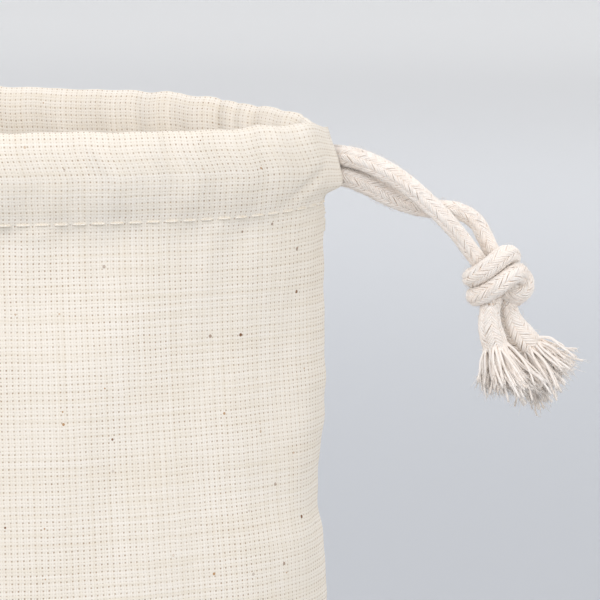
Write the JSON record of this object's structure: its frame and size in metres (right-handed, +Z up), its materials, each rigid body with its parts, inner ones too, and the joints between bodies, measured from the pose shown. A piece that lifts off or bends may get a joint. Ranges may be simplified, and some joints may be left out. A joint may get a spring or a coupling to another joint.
{
  "type": "knitting bag",
  "caption": "Small natural cotton drawstring project bag standing open, with a stitched casing round its mouth and a knotted, frayed cord at one side.",
  "frame": {"origin": "middle of the base, on the surface that the bag stands on", "axes": "+Z up; the front faces -Y; the drawstring leaves the mouth at the +X side seam"},
  "size_m": [0.1897, 0.081, 0.19],
  "materials": {
    "cotton_cloth": "unbleached plain-weave cotton, matt",
    "cotton_cord": "unbleached braided cotton cord, matt and slightly fuzzy",
    "sewing_thread": "spun sewing thread"
  },
  "bodies": {
    "bag": {"front_panel": "cotton_cloth", "back_panel": "cotton_cloth", "left_side_seam": "cotton_cloth", "right_side_seam": "cotton_cloth", "bottom_seam": "cotton_cloth", "left_corner_seam": "cotton_cloth", "right_corner_seam": "cotton_cloth", "left_side_stitching": "sewing_thread", "right_side_stitching": "sewing_thread", "bottom_stitching": "sewing_thread", "left_corner_stitching": "sewing_thread", "right_corner_stitching": "sewing_thread", "slit_bar_tack": "sewing_thread"},
    "front_mouth": {"front_casing": "cotton_cloth", "front_casing_stitching": "sewing_thread", "front_cord_run": "cotton_cord"},
    "back_mouth": {"back_casing": "cotton_cloth", "back_casing_stitching": "sewing_thread", "back_cord_run": "cotton_cord"},
    "drawstring": {"front_strand": "cotton_cord", "back_strand": "cotton_cord"},
    "tassel": {"knot": "cotton_cord", "front_end": "cotton_cord", "back_end": "cotton_cord", "front_fray": "cotton_cord", "back_fray": "cotton_cord"}
  },
  "joints": [
    {"name": "drawstring_pull", "type": "slide", "parent": "bag", "child": "drawstring", "axis": [1, 0, 0], "range_m": [0, 0.02], "deforming": ["front_strand", "back_strand"]},
    {"name": "front_mouth_close", "type": "slide", "parent": "bag", "child": "front_mouth", "axis": [0, 1, 0], "range_m": [0, 0.022], "deforming": ["front_casing", "front_casing_stitching", "front_cord_run"]},
    {"name": "back_mouth_close", "type": "slide", "parent": "bag", "child": "back_mouth", "axis": [0, -1, 0], "range_m": [0, 0.022], "deforming": ["back_casing", "back_casing_stitching", "back_cord_run"]},
    {"name": "knot_swing", "type": "hinge", "parent": "drawstring", "child": "tassel", "pos_m": [0.097, 0, 0.1696], "axis": [0, 1, 0], "range_deg": [-35, 35]}
  ],
  "couplings": [
    {"joint": "front_mouth_close", "follows": "drawstring_pull", "ratio": 1.1},
    {"joint": "back_mouth_close", "follows": "drawstring_pull", "ratio": 1.1}
  ]
}
